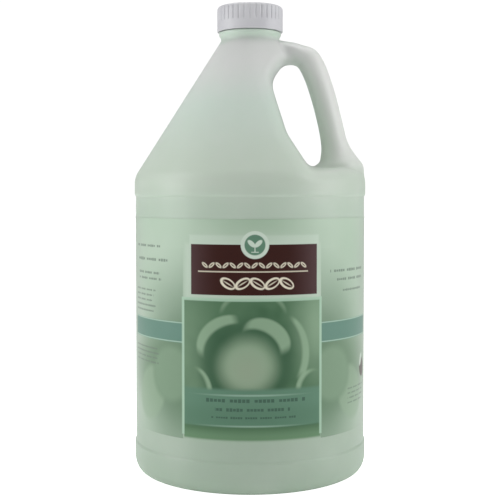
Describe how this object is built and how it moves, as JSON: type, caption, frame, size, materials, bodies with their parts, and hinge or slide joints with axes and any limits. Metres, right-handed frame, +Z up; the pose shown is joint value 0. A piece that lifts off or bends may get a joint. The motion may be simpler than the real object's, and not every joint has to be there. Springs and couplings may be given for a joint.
{
  "type": "shampoo bottle",
  "caption": "Round shampoo jug with an integral hollow handle in its conical shoulder, a wraparound label and a ribbed screw cap.",
  "frame": {"origin": "on the jug's axis, in the plane of the ring that it stands on", "axes": "+Z up along the jug's axis, +X towards the handle, -Y towards the viewer of the label's front"},
  "size_m": [0.154, 0.154, 0.3077],
  "materials": {
    "jug_plastic": "natural milky polyethylene, satin as blown",
    "label_film": "printed film, satin",
    "shampoo_gel": "pale green liquid",
    "liner_foam": "white foam",
    "cap_plastic": "white moulded plastic, satin"
  },
  "bodies": {
    "jug": {"bottle": "jug_plastic", "label": "label_film", "shampoo": "shampoo_gel"},
    "seal": {"cap_liner": "liner_foam"},
    "closure": {"cap": "cap_plastic"}
  },
  "joints": [
    {"name": "cap_lift", "type": "slide", "parent": "jug", "child": "seal", "axis": [0, 0, 1], "range_m": [0, 0.00529]},
    {"name": "cap_turn", "type": "hinge", "parent": "seal", "child": "closure", "pos_m": [0, 0, 0.2907], "axis": [0, 0, 1], "range_deg": [0, 450]}
  ],
  "couplings": [
    {"joint": "cap_turn", "follows": "cap_lift", "rad_per_m": 1484.3}
  ]
}
